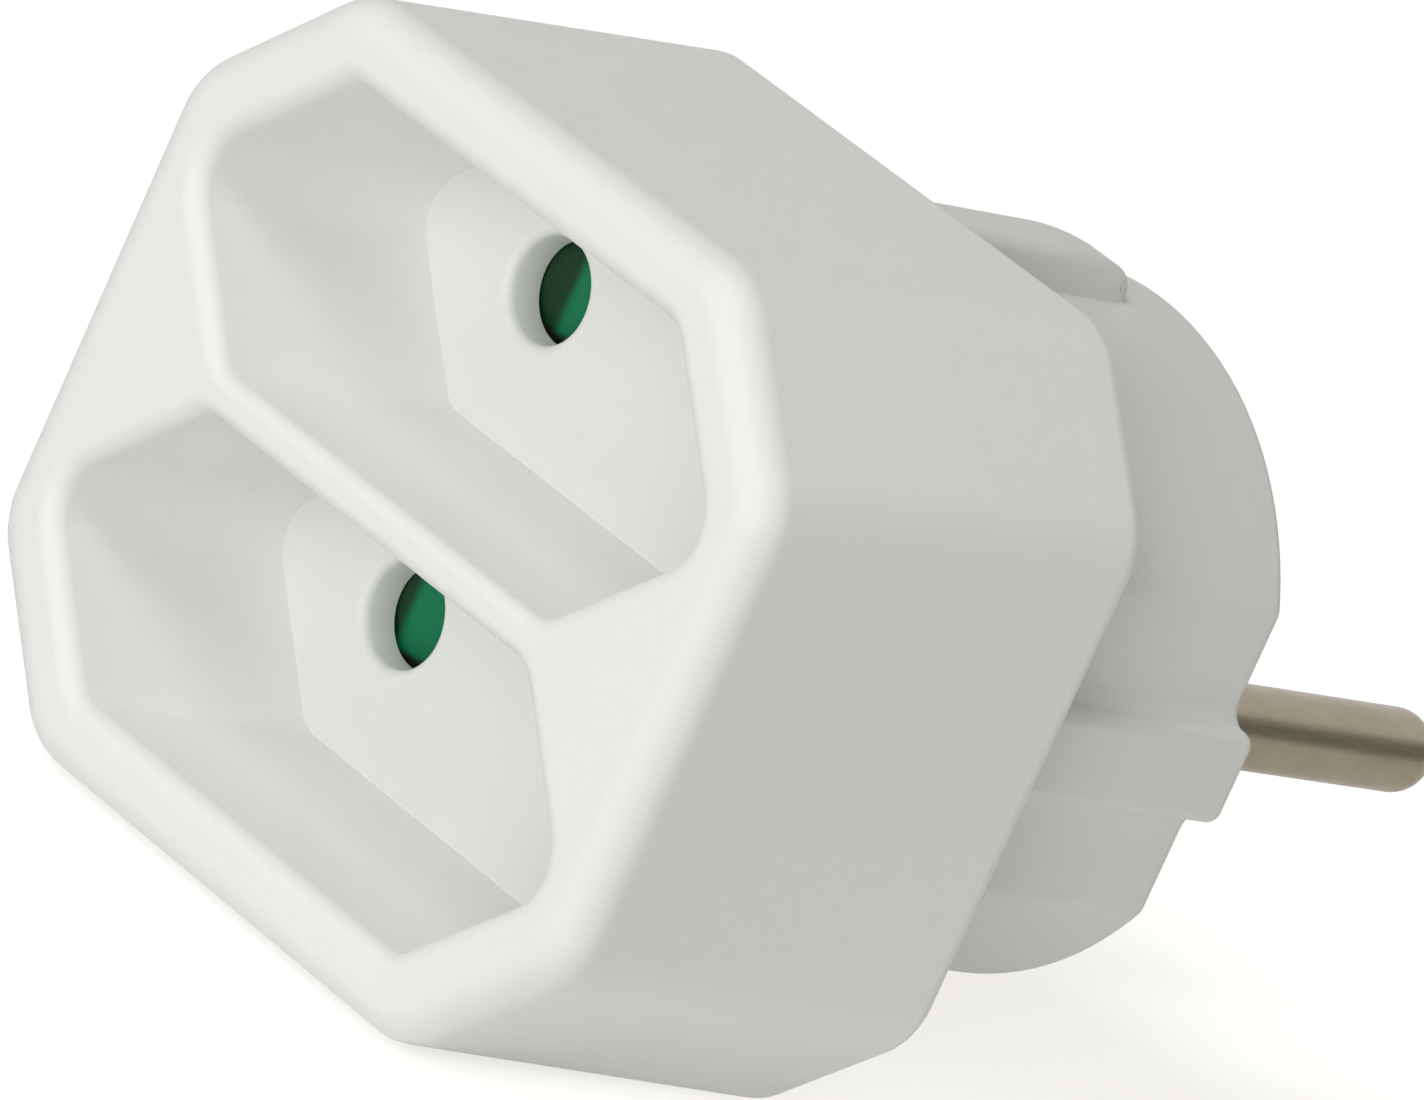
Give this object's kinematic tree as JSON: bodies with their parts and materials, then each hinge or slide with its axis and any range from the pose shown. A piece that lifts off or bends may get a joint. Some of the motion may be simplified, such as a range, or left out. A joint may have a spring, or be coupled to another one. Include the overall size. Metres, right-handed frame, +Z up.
{
  "type": "multi socket adapter",
  "caption": "Two-way mains adapter: octagonal moulded body with hexagonal recesses over sprung shutters, and a round plug with two pins.",
  "frame": {"origin": "centre of the plug's nose face, which meets the bottom of the wall outlet", "axes": "+Y into the wall along the pins, +Z up across the two recesses, +X to the right along each recess, seen from the front"},
  "size_m": [0.0436, 0.0606, 0.0394],
  "materials": {
    "housing": "smooth white moulded plastic, semi-gloss",
    "base": "smooth white moulded plastic, semi-gloss",
    "shutter": "green moulded plastic",
    "carrier": "plain off-white moulded plastic",
    "pin": "nickel-plated brass, fine turning marks",
    "contact": "rolled brass sheet",
    "spring": "spring steel strip",
    "screw": "zinc-plated steel"
  },
  "bodies": {
    "adapter": {"front_housing": "housing", "plug_base": "base", "shutter_carrier": "carrier", "housing_screw": "screw", "plug_pin_left": "pin", "contact_strip_left": "contact", "plug_pin_right": "pin", "contact_strip_right": "contact", "shutter_spring_upper": "spring", "contact_clip_upper_left": "contact", "contact_clip_upper_right": "contact", "shutter_spring_lower": "spring", "contact_clip_lower_left": "contact", "contact_clip_lower_right": "contact"},
    "upper_shutter": {"shutter_upper": "shutter"},
    "lower_shutter": {"shutter_lower": "shutter"}
  },
  "joints": [
    {"name": "shutter_upper_slide", "type": "slide", "parent": "adapter", "child": "upper_shutter", "axis": [-1, 0, 0], "range_m": [0, 0.0054], "stiffness_N_per_m": 50, "springref_m": -0.003, "deforming": ["shutter_spring_upper"]},
    {"name": "shutter_lower_slide", "type": "slide", "parent": "adapter", "child": "lower_shutter", "axis": [-1, 0, 0], "range_m": [0, 0.0054], "stiffness_N_per_m": 50, "springref_m": -0.003, "deforming": ["shutter_spring_lower"]}
  ]
}
